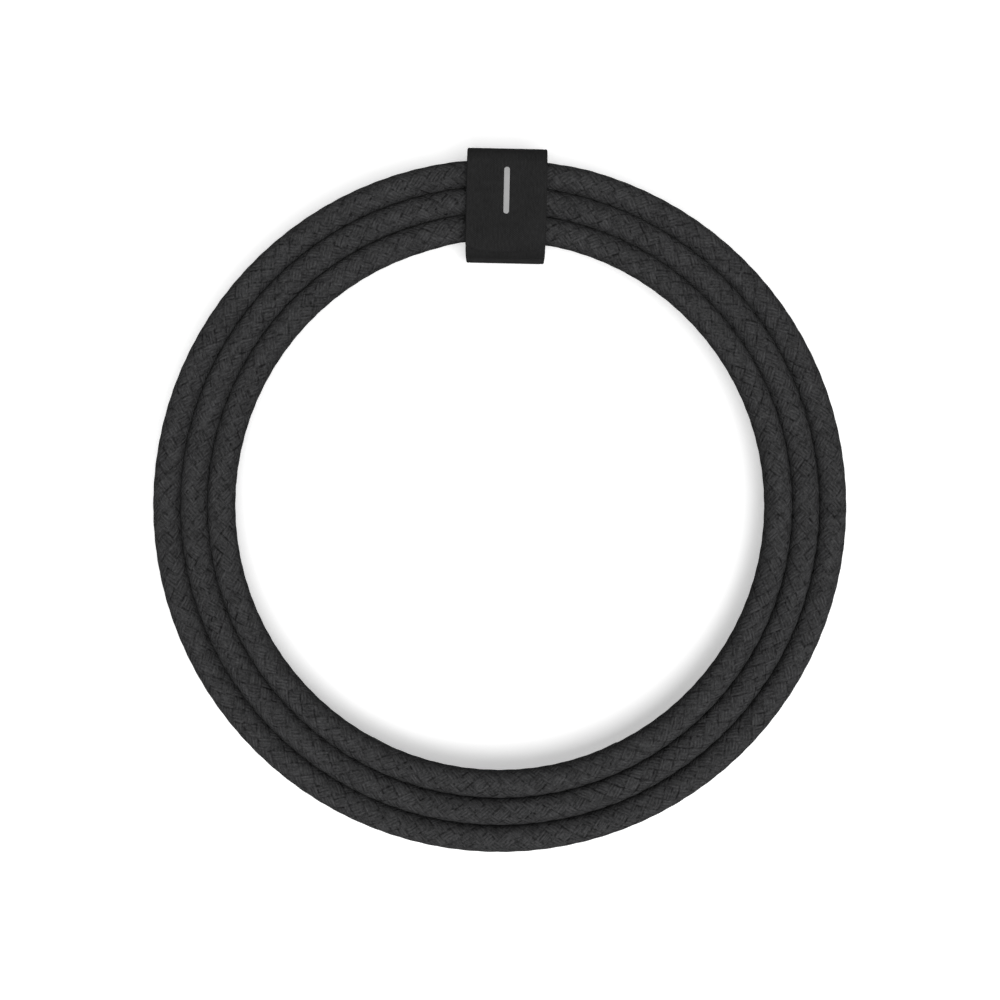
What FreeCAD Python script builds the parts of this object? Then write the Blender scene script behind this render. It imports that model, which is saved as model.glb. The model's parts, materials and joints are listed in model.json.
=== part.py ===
"""A braided charging cable with a reversible plug on each end, coiled and held by a hook-and-loop strap.

Millimetres, +Z up. The cable lies on z = 0 and the origin is under the middle of its bounding box.
Three level turns lie side by side. Both leads and both plugs lie under them, and the strap closes
round the bundle on the +Y side. Angles along the coil are in degrees, counted from the strap,
and grow anticlockwise as seen from above.
"""
import FreeCAD, Part
import math
import os

# The cord and its coil
CORD_D = 5.3              # outside the braid
COIL_TURNS = 3
COIL_MEAN_R = 59.8        # centre line of the middle turn
COIL_Z = 8.95             # centre of the turns, just above the plugs
JACKET_D = 3.8            # inner jacket, under the braid
STRAP_ANGLE = -1.25       # where the strap sits, from +Y

# The route of each lead: angle from the strap, radius from the coil's centre, height of the centre line
LEAD_A_ROUTE = [
    (-110.0, 60.4, 2.65),
    (-84.0, 59.0, 2.65),
    (-58.0, 58.0, 2.65),
    (-35.0, 57.3, 3.2),
    (-17.0, 56.4, 3.65),
    (-4.0, 55.5, 3.65),
    (6.8, 55.1, 5.6),
]
LEAD_B_ROUTE = [
    (-6.8, 65.75, 5.6),
    (4.0, 65.6, 3.65),
    (17.0, 65.5, 3.65),
    (35.0, 64.4, 3.2),
    (58.0, 62.8, 2.65),
    (84.0, 61.9, 2.65),
    (110.0, 61.5, 2.65),
]

# The plug, in its own frame: +X points to its tip, x = 0 is the back of its housing
PLUG_ANGLE = 152.1        # back of each housing, from the strap
PLUG_R = 58.3
PLUG_RUN = 20.0           # the lead stays in line with the plug this far behind the housing
HOUSING = (20.0, 10.6, 6.2)
HOUSING_SIDE_R = 2.9
HOUSING_END_R = 0.7
CAVITY = (1.0, 19.0, 8.6, 4.3)      # from x, to x, width, height
CAVITY_R = 1.2
BOOT_LENGTH = 12.0
BOOT_FRONT = (8.4, 6.1)
BOOT_BACK = (6.5, 6.1)
BOOT_GRIP = 9.5           # length of cord inside the boot
SHELL = (14.8, 26.65, 8.25, 2.4)    # from x, to x, width, height
SHELL_WALL = 0.25
CAN = (6.1, 18.9, 8.4, 4.1)
CAN_WALL = 0.2
CAN_R = 1.15
BOARD = (6.5, 14.5, 7.6, 0.8)
INSULATOR = (15.0, 20.5, 6.6, 1.0)
CONTACTS = 12
CONTACT_PITCH = 0.5
CONTACT_WIDTH = 0.25
CONTACT_SHEET = 0.12
CONTACT_LINE = [(12.4, 0.46), (14.6, 0.46), (15.0, 0.56), (20.5, 0.56), (25.0, 0.40), (25.8, 0.52)]
LATCH_LINE = [(14.9, 3.55), (20.0, 3.55), (24.4, 3.05), (25.4, 3.4)]
LATCH_SHEET = 0.15
LATCH_HEIGHT = 0.7
GROUND_SPRING = (15.5, 24.5, 5.8, 0.1)
GROUND_SPRING_Z = 0.85
JACKET_END = 4.0          # the inner jacket stops here and its wires go on
COLLAR = (1.6, 3.8, 4.2)  # from x, to x, diameter
MOULD_END = 6.0
CHIP = (9.6, 2.5, 0.6)    # from x, side, height
CAPACITOR = (1.0, 0.5, 0.35)
CAPACITOR_PLACES = [(8.3, -3.1), (8.3, 3.1), (10.9, 2.6)]

# Wires: name, diameter, place in the jacket (y, z), place on the board (y, side of the board)
WIRES = [
    ("power", 0.9, (0.95, 0.3), (2.3, 1)),
    ("ground", 0.9, (-0.95, 0.3), (-2.3, 1)),
    ("data_plus", 0.6, (0.38, 1.05), (0.8, 1)),
    ("data_minus", 0.6, (-0.38, 1.05), (-0.8, 1)),
    ("control", 0.6, (0.0, -0.6), (0.0, -1)),
]
WIRE_TIP = 8.0
WIRE_STRAIGHT = 0.6       # leaving the jacket
WIRE_ON_BOARD = 1.9       # the length that lies along the board
SOLDER = 0.05             # under each wire

# The strap: its section runs along (distance from the coil's centre, height)
STRAP_WIDTH = 15.5
STRAP_SHEET = 0.7
STRAP_INSIDE = 48.7       # centre line of the sheet on the coil's open side
STRAP_OUTSIDE = 69.1      # and on the outer side
STRAP_UNDERLAY_Z = 12.25
STRAP_CORNER_R = 4.0
STRAP_OUTER_CORNER_R = 3.6
ROOT_END = 66.0           # the strap starts here, under the flap
HINGE_Z = 7.5             # the flap folds open at this height, on the outer side
PILE = 0.4
HOOKS = 0.3
CLOSED_GAP = 0.1
PATCH_MARGIN = 0.6
PILE_SPAN = (53.0, 65.3)
HOOK_SPAN = (55.4, 65.3)
TIP_START = 54.9          # the pull tab starts here
TIP_END = 49.1
TIP_BEND = 52.0
TIP_DROP = 1.55
TIP_CORNER = (4.0, 1.4)    # each end corner is an arc that takes this much across and along
MARK = (56.0, 65.0, 1.1, 0.1)       # a plain bar: from, to, width, height

SAME = 1e-6               # lengths closer than this count as equal
HAIR = 0.001              # the straight that is left between two corner rounds

# Worked-out values
coil_inner_r = COIL_MEAN_R - COIL_TURNS * CORD_D / 2
coil_outer_r = COIL_MEAN_R + COIL_TURNS * CORD_D / 2
turn_radii = [coil_inner_r + CORD_D * (turn + 0.5) for turn in range(COIL_TURNS)]
plug_z = HOUSING[2] / 2
lean = math.radians(-STRAP_ANGLE)
strap_reach = (STRAP_OUTSIDE + STRAP_SHEET / 2) * math.cos(lean) + STRAP_WIDTH / 2 * math.sin(lean)
coil_y = (coil_outer_r - strap_reach) / 2
underlay_top = STRAP_UNDERLAY_Z + STRAP_SHEET / 2
pile_top = underlay_top + PILE
flap_bottom = pile_top + CLOSED_GAP + HOOKS
flap_z = flap_bottom + STRAP_SHEET / 2
flap_top = flap_bottom + STRAP_SHEET


def vector(x, y, z):
    return FreeCAD.Vector(x, y, z)


def along_coil(angle, radius, height):
    """The point at an angle from the strap, as seen from the coil's centre."""
    turned = math.radians(angle + STRAP_ANGLE)
    return vector(-radius * math.sin(turned), coil_y + radius * math.cos(turned), height)


def rounded_path(points, radii=None):
    """Straight runs joined by tangent arcs; without radii each arc is as large as its two runs allow."""
    edges = []
    used = []
    start = points[0]
    for index in range(1, len(points) - 1):
        corner = points[index]
        back = points[index - 1] - corner
        ahead = points[index + 1] - corner
        run = min(back.Length, ahead.Length)
        half_turn = (math.pi - back.getAngle(ahead)) / 2
        radius = 0.45 * run / math.tan(half_turn) if radii is None else radii[index - 1]
        back.normalize()
        ahead.normalize()
        cut = radius * math.tan(half_turn)
        bisector = (back + ahead).normalize()
        middle = corner + bisector * (radius / math.cos(half_turn) - radius)
        edges.append(Part.LineSegment(start, corner + back * cut).toShape())
        edges.append(Part.Arc(corner + back * cut, middle, corner + ahead * cut).toShape())
        start = corner + ahead * cut
        used.append(radius)
    edges.append(Part.LineSegment(start, points[-1]).toShape())
    return Part.Wire(edges), used


def tube(points, diameter, name=None, radii=None):
    """A round tube along a rounded path, and for a named one the facts that show it is sound."""
    path, used = rounded_path(points, radii)
    circle = Part.Circle(points[0], points[1] - points[0], diameter / 2)
    solid = path.makePipeShell([Part.Wire(circle.toShape())], True, False)
    if name:
        expected = math.pi * diameter ** 2 / 4 * path.Length
        print(name, "length", round(path.Length, 1), "radii", [round(radius, 1) for radius in used],
              "volume ratio", round(solid.Volume / expected, 4), "valid", solid.isValid())
    return solid, path.Length


def stadium(x, width, height):
    """A wire across X at x: two flats joined by two half rounds."""
    flat = (width - height) / 2
    half = height / 2
    top = Part.LineSegment(vector(x, -flat, half), vector(x, flat, half))
    right = Part.Arc(vector(x, flat, half), vector(x, flat + half, 0), vector(x, flat, -half))
    bottom = Part.LineSegment(vector(x, flat, -half), vector(x, -flat, -half))
    left = Part.Arc(vector(x, -flat, -half), vector(x, -flat - half, 0), vector(x, -flat, half))
    return Part.Wire([top.toShape(), right.toShape(), bottom.toShape(), left.toShape()])


def stadium_bar(x_from, x_to, width, height):
    return Part.Face(stadium(x_from, width, height)).extrude(vector(x_to - x_from, 0, 0))


def block(x_from, x_to, width, height, z=0.0):
    """A box centred on the X axis, or on a height above it."""
    return Part.makeBox(x_to - x_from, width, height, vector(x_from, -width / 2, z - height / 2))


def edges_along_x(solid):
    boxes = [(edge, edge.BoundBox) for edge in solid.Edges]
    return [edge for edge, box in boxes if box.YLength < SAME and box.ZLength < SAME]


def edges_along_z(solid):
    boxes = [(edge, edge.BoundBox) for edge in solid.Edges]
    return [edge for edge, box in boxes if box.XLength < SAME and box.YLength < SAME]


def edges_at_x(solid, x):
    boxes = [(edge, edge.BoundBox) for edge in solid.Edges]
    return [edge for edge, box in boxes if abs(box.XMin - x) < SAME and abs(box.XMax - x) < SAME]


def bar(x_from, x_to, diameter):
    return Part.makeCylinder(diameter / 2, x_to - x_from, vector(x_from, 0, 0), vector(1, 0, 0))


def bent_strip(line, thickness):
    """The outline, in its own plane, of thin sheet that follows a line."""
    upper = [(x, y + thickness / 2) for x, y in line]
    lower = [(x, y - thickness / 2) for x, y in reversed(line)]
    return upper + lower + upper[:1]


# ---- the cord ----

def cable_coil():
    """The outer shape of the level turns: one ring with round edges."""
    half = CORD_D / 2
    inner = turn_radii[0]
    outer = turn_radii[-1]
    top = Part.LineSegment(vector(inner, 0, half), vector(outer, 0, half))
    outer_round = Part.Arc(vector(outer, 0, half), vector(outer + half, 0, 0), vector(outer, 0, -half))
    bottom = Part.LineSegment(vector(outer, 0, -half), vector(inner, 0, -half))
    inner_round = Part.Arc(vector(inner, 0, -half), vector(inner - half, 0, 0), vector(inner, 0, half))
    section = Part.Face(Part.Wire([side.toShape() for side in (top, outer_round, bottom, inner_round)]))
    ring = section.revolve(vector(0, 0, 0), vector(0, 0, 1), 360)
    ring.translate(vector(0, coil_y, COIL_Z))
    return ring


def lead(name, route, plug):
    """A lead from inside its plug's boot to where it goes in among the turns."""
    end = plug.multVec(vector(-(BOOT_LENGTH - BOOT_GRIP), 0, 0))
    straight = plug.multVec(vector(-PLUG_RUN, 0, 0))
    points = [end, straight] + [along_coil(*place) for place in route]
    return tube(points, CORD_D, name)


# ---- one plug, in its own frame ----

def plug_housing():
    """The moulded grip: a hollow bar with round sides, open for the cable and for the shell."""
    length, width, height = HOUSING
    body = block(0, length, width, height)
    body = body.makeFillet(HOUSING_SIDE_R, edges_along_x(body))
    body = body.makeFillet(HOUSING_END_R, edges_at_x(body, 0) + edges_at_x(body, length))
    cavity = block(*CAVITY)
    cavity = cavity.makeFillet(CAVITY_R, edges_along_x(cavity))
    cable_hole = bar(0, CAVITY[0], JACKET_D)
    shell_slot = stadium_bar(CAVITY[1], length, SHELL[2], SHELL[3])
    return body.cut(cavity).cut(cable_hole).cut(shell_slot)


def strain_relief():
    """The boot: oval at the housing, nearly round where the cord leaves it."""
    sleeve = Part.makeLoft([stadium(-BOOT_LENGTH, *BOOT_BACK), stadium(0, *BOOT_FRONT)], True, True)
    cord_hole = bar(-BOOT_LENGTH, -BOOT_LENGTH + BOOT_GRIP, CORD_D)
    jacket_hole = bar(-BOOT_LENGTH + BOOT_GRIP, 0, JACKET_D)
    return sleeve.cut(cord_hole).cut(jacket_hole)


def plug_shell():
    """The drawn metal shell that goes into a socket."""
    x_from, x_to, width, height = SHELL
    outside = stadium_bar(x_from, x_to, width, height)
    inside = stadium_bar(x_from, x_to, width - 2 * SHELL_WALL, height - 2 * SHELL_WALL)
    return outside.cut(inside)


def shield_can():
    """The folded can round the board, open at the back, with the shell through its front wall."""
    x_from, x_to, width, height = CAN
    outside = block(x_from, x_to, width, height)
    outside = outside.makeFillet(CAN_R, edges_along_x(outside))
    inside = block(x_from, x_to - CAN_WALL, width - 2 * CAN_WALL, height - 2 * CAN_WALL)
    inside = inside.makeFillet(CAN_R - CAN_WALL, edges_along_x(inside))
    return outside.cut(inside).cut(stadium_bar(*SHELL))


def contact_row(side):
    """One row of contact springs; side is 1 for the upper row and -1 for the lower."""
    strips = []
    outline = bent_strip(CONTACT_LINE, CONTACT_SHEET)
    for index in range(CONTACTS):
        y = (index - (CONTACTS - 1) / 2) * CONTACT_PITCH - CONTACT_WIDTH / 2
        wire = Part.makePolygon([vector(x, y, side * z) for x, z in outline])
        strips.append(Part.Face(wire).extrude(vector(0, CONTACT_WIDTH, 0)))
    return Part.makeCompound(strips)


def latch_springs():
    """The pair of side springs that hold the plug in its socket."""
    springs = []
    outline = bent_strip(LATCH_LINE, LATCH_SHEET)
    for side in (-1, 1):
        wire = Part.makePolygon([vector(x, side * y, -LATCH_HEIGHT / 2) for x, y in outline])
        springs.append(Part.Face(wire).extrude(vector(0, 0, LATCH_HEIGHT)))
    return Part.makeCompound(springs)


def ground_springs():
    """The two plates that ground the socket's tongue, above and below the contacts."""
    return Part.makeCompound([block(*GROUND_SPRING, side * GROUND_SPRING_Z) for side in (-1, 1)])


def inner_jacket():
    return bar(-BOOT_LENGTH + BOOT_GRIP, JACKET_END, JACKET_D)


def crimp_collar():
    x_from, x_to, diameter = COLLAR
    return bar(x_from, x_to, diameter).cut(inner_jacket())


def plug_wire(diameter, in_jacket, on_board):
    """One conductor, from the end of the jacket to its pad on the board."""
    y, side = on_board
    pad = side * (BOARD[3] / 2 + SOLDER + diameter / 2)
    points = [
        vector(JACKET_END, *in_jacket),
        vector(JACKET_END + WIRE_STRAIGHT, *in_jacket),
        vector(WIRE_TIP - WIRE_ON_BOARD, y, pad),
        vector(WIRE_TIP, y, pad),
    ]
    return tube(points, diameter)[0]


def inner_mould(wires):
    """The filling that locks the jacket, its collar and the wires to the back of the housing."""
    filling = block(CAVITY[0], MOULD_END, CAVITY[2], CAVITY[3])
    filling = filling.makeFillet(CAVITY_R, edges_along_x(filling))
    for piece in [inner_jacket(), crimp_collar()] + wires:
        filling = filling.cut(piece)
    return filling


def marker_chip():
    x_from, side, height = CHIP
    return block(x_from, x_from + side, side, height, (BOARD[3] + height) / 2)


def capacitors():
    length, width, height = CAPACITOR
    pieces = [Part.makeBox(length, width, height, vector(x, y - width / 2, BOARD[3] / 2))
              for x, y in CAPACITOR_PLACES]
    return Part.makeCompound(pieces)


def plug_pieces():
    """Every piece of one plug, by name."""
    wires = {"wire_" + name: plug_wire(diameter, start, end) for name, diameter, start, end in WIRES}
    pieces = {
        "housing": plug_housing(),
        "strain_relief": strain_relief(),
        "shell": plug_shell(),
        "shield_can": shield_can(),
        "insulator": block(*INSULATOR),
        "upper_contacts": contact_row(1),
        "lower_contacts": contact_row(-1),
        "latch_springs": latch_springs(),
        "ground_springs": ground_springs(),
        "circuit_board": block(*BOARD),
        "capacitors": capacitors(),
        "inner_jacket": inner_jacket(),
        "crimp_collar": crimp_collar(),
        "inner_mould": inner_mould(list(wires.values())),
    }
    pieces.update(wires)
    return pieces


def plug_placement(side):
    """Where a plug lies: side is -1 for plug a and 1 for plug b; each points away from the strap."""
    base = along_coil(side * PLUG_ANGLE, PLUG_R, plug_z)
    heading = side * PLUG_ANGLE + STRAP_ANGLE + (180 if side > 0 else 0)
    return FreeCAD.Placement(base, FreeCAD.Rotation(vector(0, 0, 1), heading))


# ---- the strap, in its own frame: the coil's centre is the origin and Y runs out through the strap ----

def strap_sheet(corners, radii):
    """Sheet of the strap's width that follows a section of straight runs and round corners."""
    half = STRAP_SHEET / 2
    sides = []
    for offset in (half, -half):
        moved = [shifted_corner(corners, index, offset) for index in range(len(corners))]
        rounds = [radius + offset * turn_sense(corners, index + 1) for index, radius in enumerate(radii)]
        sides.append(rounded_path(moved, rounds)[0] if rounds else Part.makePolygon(moved))
    ends = [
        Part.LineSegment(sides[0].Vertexes[index].Point, sides[1].Vertexes[index].Point).toShape()
        for index in (0, -1)
    ]
    outline = Part.Wire(Part.__sortEdges__(sides[0].Edges + sides[1].Edges + ends))
    return Part.Face(outline).extrude(vector(STRAP_WIDTH, 0, 0))


def turn_sense(corners, index):
    """1 where the section turns clockwise as seen with Y to the right, and -1 where it turns the other way."""
    (y0, z0), (y1, z1), (y2, z2) = corners[index - 1:index + 2]
    return -1 if (y1 - y0) * (z2 - z1) - (z1 - z0) * (y2 - y1) > 0 else 1


def left_normal(start, end):
    length = math.hypot(end[0] - start[0], end[1] - start[1])
    return (-(end[1] - start[1]) / length, (end[0] - start[0]) / length)


def shifted_corner(corners, index, offset):
    """A corner of the section moved sideways to the left by an offset."""
    before = left_normal(corners[max(index - 1, 0)], corners[max(index, 1)])
    after = left_normal(corners[min(index, len(corners) - 2)], corners[min(index + 1, len(corners) - 1)])
    share = 1 + before[0] * after[0] + before[1] * after[1]
    y = corners[index][0] + offset * (before[0] + after[0]) / share
    z = corners[index][1] + offset * (before[1] + after[1]) / share
    return vector(-STRAP_WIDTH / 2, y, z)


def strap_band():
    """The part that stays round the bundle: over the top, down inside, underneath and up outside."""
    corners = [
        (ROOT_END, STRAP_UNDERLAY_Z),
        (STRAP_INSIDE, STRAP_UNDERLAY_Z),
        (STRAP_INSIDE, STRAP_SHEET / 2),
        (STRAP_OUTSIDE, STRAP_SHEET / 2),
        (STRAP_OUTSIDE, HINGE_Z),
    ]
    return strap_sheet(corners, [STRAP_CORNER_R, STRAP_CORNER_R, STRAP_OUTER_CORNER_R])


def strap_flap():
    """The part that peels open, from its fold on the outer side to the pull tab."""
    corners = [(STRAP_OUTSIDE, HINGE_Z), (STRAP_OUTSIDE, flap_z), (TIP_START, flap_z)]
    return strap_sheet(corners, [STRAP_OUTER_CORNER_R])


def strap_tip():
    """The pull tab: bent down a little over the bundle's edge, with shallow arcs for its corners."""
    corners = [(TIP_START, flap_z), (TIP_BEND, flap_z), (TIP_END, flap_z - TIP_DROP)]
    return strap_sheet(corners, [STRAP_CORNER_R]).common(tip_outline())


def tip_outline():
    """A block with the pull tab's outline; each corner arc runs smoothly into the end edge."""
    across, along = TIP_CORNER
    half = STRAP_WIDTH / 2
    radius = (across ** 2 + along ** 2) / (2 * along)
    half_turn = math.asin(across / radius) / 2
    middle_x = half - across + radius * math.sin(half_turn)
    middle_y = TIP_END + radius * (1 - math.cos(half_turn))
    edges = []
    for side in (-1, 1):
        shoulder = vector(side * half, TIP_END + along, 0)
        edges.append(Part.Arc(shoulder, vector(side * middle_x, middle_y, 0),
                              vector(side * (half - across), TIP_END, 0)))
        edges.append(Part.LineSegment(shoulder, vector(side * half, TIP_START, 0)))
    edges.append(Part.LineSegment(vector(across - half, TIP_END, 0), vector(half - across, TIP_END, 0)))
    edges.append(Part.LineSegment(vector(-half, TIP_START, 0), vector(half, TIP_START, 0)))
    outline = Part.Wire(Part.__sortEdges__([edge.toShape() for edge in edges]))
    return Part.Face(outline).extrude(vector(0, 0, flap_top))


def strap_patch(span, z, thickness):
    """A thin layer on the strap, just inside its edges."""
    width = STRAP_WIDTH - 2 * PATCH_MARGIN
    return Part.makeBox(width, span[1] - span[0], thickness, vector(-width / 2, span[0], z))


def strap_mark():
    """A plain raised bar with round ends, down the middle of the flap."""
    y_from, y_to, width, height = MARK
    mark = Part.makeBox(width, y_to - y_from, height, vector(-width / 2, y_from, flap_top))
    return mark.makeFillet((width - HAIR) / 2, edges_along_z(mark))


def strap_pieces():
    return {
        "strap_band": strap_band(),
        "strap_loop_pile": strap_patch(PILE_SPAN, underlay_top, PILE),
        "strap_flap": strap_flap(),
        "strap_hook_patch": strap_patch(HOOK_SPAN, flap_bottom - HOOKS, HOOKS),
        "strap_tip": strap_tip(),
        "strap_mark": strap_mark(),
    }


# ---- the whole object ----

def build():
    nodes = {"cable_coil": cable_coil()}
    lengths = []
    for letter, side, route in (("a", -1, LEAD_A_ROUTE), ("b", 1, list(reversed(LEAD_B_ROUTE)))):
        plug = plug_placement(side)
        nodes["lead_" + letter], length = lead("lead_" + letter, route, plug)
        lengths.append(length)
        pieces = plug_pieces()
        if letter == "a":
            pieces["marker_chip"] = marker_chip()
        for name, shape in pieces.items():
            shape.Placement = plug.multiply(shape.Placement)
            nodes["plug_" + letter + "_" + name] = shape
    strap_place = FreeCAD.Placement(vector(0, coil_y, 0), FreeCAD.Rotation(vector(0, 0, 1), STRAP_ANGLE))
    for name, shape in strap_pieces().items():
        shape.Placement = strap_place.multiply(shape.Placement)
        nodes[name] = shape
    coiled = sum(2 * math.pi * radius for radius in turn_radii)
    cord = coiled + sum(lengths)
    plug_length = SHELL[1] + BOOT_LENGTH - BOOT_GRIP
    print("coiled", round(coiled, 1), "cord", round(cord, 1), "tip to tip", round(cord + 2 * plug_length, 1))
    hinge = strap_place.multVec(vector(0, STRAP_OUTSIDE + STRAP_SHEET / 2, HINGE_Z))
    tip_hinge = strap_place.multVec(vector(0, TIP_START, flap_top))
    print("coil centre y", round(coil_y, 4), "flap hinge", hinge, "tip hinge", tip_hinge)
    return nodes


def main():
    os.makedirs("parts", exist_ok=True)
    for name, shape in build().items():
        if not shape.isValid():
            print("not valid:", name)
        shape.exportStep("parts/" + name + ".step")


main()
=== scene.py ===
import bpy
import json
import math
import random
import numpy as np
from mathutils import Matrix, Vector


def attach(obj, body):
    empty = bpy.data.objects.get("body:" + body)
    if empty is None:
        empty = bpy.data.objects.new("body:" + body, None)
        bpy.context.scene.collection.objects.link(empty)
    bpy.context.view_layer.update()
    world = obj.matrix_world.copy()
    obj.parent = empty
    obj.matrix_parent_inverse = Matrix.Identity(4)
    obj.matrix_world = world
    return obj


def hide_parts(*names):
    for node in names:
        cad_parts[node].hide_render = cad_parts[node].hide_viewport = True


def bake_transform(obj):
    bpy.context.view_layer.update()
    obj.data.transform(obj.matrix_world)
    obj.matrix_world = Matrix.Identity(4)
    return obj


# A braided charging cable, coiled and held by a hook-and-loop strap, seen from straight above.
# Metres and degrees. Angles along the coil are counted from the strap, anticlockwise from above.

MM = 0.001

# The cord and its coil
CORD_D = 5.3 * MM
COIL_TURNS = 3
COIL_MEAN_R = 59.8 * MM
COIL_Z = 8.95 * MM
TURN_POINTS = 42
TURN_STAGGER = 1.2            # each turn passes to the next this much earlier, under the strap
JOIN_POINTS = 1               # left out at each end of the coil, where a lead comes in

# The route of each lead: angle from the strap, radius from the coil's centre, height.
# Under the strap lead A rises to become the innermost turn, and the outermost turn goes down to be lead B.
LEAD_A_ROUTE = [
    (-110.0, 0.0604, 0.00272),
    (-84.0, 0.0590, 0.00272),
    (-58.0, 0.0580, 0.00272),
    (-35.0, 0.0573, 0.0032),
    (-17.0, 0.0564, 0.00365),
    (-4.0, 0.0555, 0.00365),
    (2.5, 0.0541, 0.0060),
    (8.3, 0.0550, 0.0088),
]
LEAD_B_ROUTE = [
    (-9.0, 0.0651, 0.00895),
    (-1.5, 0.0658, 0.0065),
    (5.5, 0.0657, 0.0039),
    (17.0, 0.0655, 0.00365),
    (35.0, 0.0644, 0.0032),
    (58.0, 0.0628, 0.00272),
    (84.0, 0.0619, 0.00272),
    (110.0, 0.0615, 0.00272),
]

# The braid: flat bundles of parallel yarns, each over one and under one
BUNDLES = 5                   # each way round the cord
BUNDLE_PITCH = 3.72 * MM      # along the cord, from one crossing to the next
BRAID_STEPS = 5               # mesh faces across a bundle
BRAID_DEPTH = 0.065 * MM
YARNS = 4                     # in a bundle

# The plugs, in their own frame: +X points to the tip, x = 0 is the back of the housing
PLUG_ANGLE = 152.1
PLUG_R = 58.3 * MM
PLUG_Z = 3.1 * MM
PLUG_RUN = 20.0 * MM
CORD_END = 2.5 * MM           # the braid ends this far behind the housing, inside the boot
JACKET_D = 3.8 * MM
HOUSING = (20.0 * MM, 10.6 * MM, 6.2 * MM)
HOUSING_SIDE_R = 2.9 * MM
HOUSING_END_R = 0.7 * MM
HOUSING_WALL = 1.0 * MM
CAVITY = (8.6 * MM, 4.3 * MM)
CAVITY_R = 1.2 * MM
PARTING = (0.16 * MM, 0.07 * MM)          # width and depth of the housing's parting line
BOOT_LENGTH = 12.0 * MM
BOOT_FRONT = (8.4 * MM, 6.1 * MM)
BOOT_BACK = (6.5 * MM, 6.1 * MM)
BOOT_GROOVES = 5
BOOT_GROOVE = (0.75 * MM, 0.45 * MM)      # width and depth
BOOT_BACK_SPACES = 1.5                    # plain length behind the last groove, in groove spacings
BOOT_GROOVE_SHARE = 0.4                   # of the boot's extra width, the most that a groove takes
BOOT_STATIONS = 60
SHELL = (14.8 * MM, 26.65 * MM, 8.25 * MM, 2.4 * MM)
SHELL_WALL = 0.25 * MM

# The strap, in its own frame: v is the distance from the coil's centre, z the height.
# Its lines and spans are in millimetres. The band and the pull tab end in a free end.
STRAP_WIDTH = 15.5 * MM
STRAP_SHEET = 0.7 * MM
BAND_LINE = [(69.1, 7.5), (69.1, 0.35), (48.7, 0.35), (48.7, 12.25), (66.0, 12.25)]
BAND_RADII = [3.6, 4.0, 4.0]
FLAP_LINE = [(69.1, 7.5), (69.1, 13.75), (54.9, 13.75)]
FLAP_RADII = [3.6]
TAB_LINE = [(54.9, 13.75), (52.0, 13.75), (49.1, 12.2)]
TAB_RADII = [4.0]
TAB_CORNER = (4.0 * MM, 1.4 * MM)         # each end corner takes this much across and along
FLAP_FOLD = (7.5, 10.3)                   # heights up the flap's first side; points are made there, but nothing bends the flap
TAB_FOLD = (54.9, 52.9)                   # distances along the tab's line; points are made there, but nothing bends the tab
STATION = 0.45 * MM                       # along the tape
SLOPE_STEP = 0.05 * MM                    # the tape's slope is taken over this much each way
EDGE = 0.3 * MM                           # the tape's edges are rounded over this width
EDGE_LEAST = 0.03 * MM                    # half the thickness that is left right at the edge
SELVEDGE = (0.62 * MM, 0.13 * MM, 0.05 * MM)      # a fine groove: from the edge, half its width, its depth
PATCH_WIDTH = 14.3
PILE_SPAN = (53.0, 65.3)
PILE_BASE = (12.6, 12.72)
PILE_TOP = 13.0
HOOK_SPAN = (55.4, 65.3)
HOOK_BASE = (13.4, 13.32)
HOOK_TOP = 13.1
PATCH_PITCH = 0.62
PATCH_SEED = 7
PATCH_JITTER = 0.15                       # of the pitch, each way
PATCH_TURN = 0.6                          # radians, each way
LOOP_ARCH = (0.24, 0.7)                   # half a loop's width, and how blunt its arch is
LOOP_GAP = 0.04                           # from a loop's middle line to the top of the pile
LOOP_YARN_R = 0.035 * MM
HOOK_GAP = 0.03                           # from a hook's middle line to the tips' lowest level
HOOK_WIRE_R = 0.03 * MM
MARK = (56.0 * MM, 65.0 * MM, 1.1 * MM)
MARK_PROFILE = [(0.0, 14.1), (0.0, 14.14), (0.02, 14.175), (0.06, 14.195), (0.14, 14.2)]

# The camera, straight above
CAMERA_PLACE = (0.05 * MM, 1.07 * MM, 253.8 * MM)        # from the coil's centre, and above the floor
CAMERA_LENS = 45.0

# The lights: one overhead that leans to the lower right, and weak ones low down on four sides
KEY_PLACE = (0.13, -0.27, 0.95)
KEY_SIZE = 0.6
KEY_POWER = 9.2
FILL_PLACE = (0.7, 0.24)      # distance and height
FILL_SIZE = 0.45
FILL_POWER = 0.6
SKY = (0.02, 0.12)            # strength below the horizon and above it

# The floor, which curves up into a wall all round
FLOOR_GLOW = 0.48             # so that shadows on the floor stay pale
FLOOR_R = 1.0
WALL_CURVE_R = 0.6
WALL_TOP = 2.0
FLOOR_AROUND = 96
WALL_CURVE_STEPS = 16

SHARP = math.radians(50)      # edges that turn more than this stay crisp
HAIR = 0.001 * MM             # the straight that a fully round side keeps


# ---- the frame ----

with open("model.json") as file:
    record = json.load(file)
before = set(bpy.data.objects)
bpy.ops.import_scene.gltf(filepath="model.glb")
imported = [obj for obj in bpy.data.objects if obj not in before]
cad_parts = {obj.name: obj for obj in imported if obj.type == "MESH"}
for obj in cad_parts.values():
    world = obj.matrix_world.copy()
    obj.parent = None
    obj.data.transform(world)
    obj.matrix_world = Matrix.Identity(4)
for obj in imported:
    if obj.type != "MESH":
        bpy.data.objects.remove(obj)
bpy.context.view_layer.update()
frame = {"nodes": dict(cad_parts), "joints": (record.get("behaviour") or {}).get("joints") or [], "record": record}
joints = {joint["name"]: joint for joint in frame["joints"]}
coil_centre = Vector(joints["strap_slide"]["pos_m"])
strap_right = -Vector(joints["flap_peel"]["axis"])
strap_out = Vector((-strap_right.y, strap_right.x, 0))
strap_turn = math.atan2(strap_right.y, strap_right.x)


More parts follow.
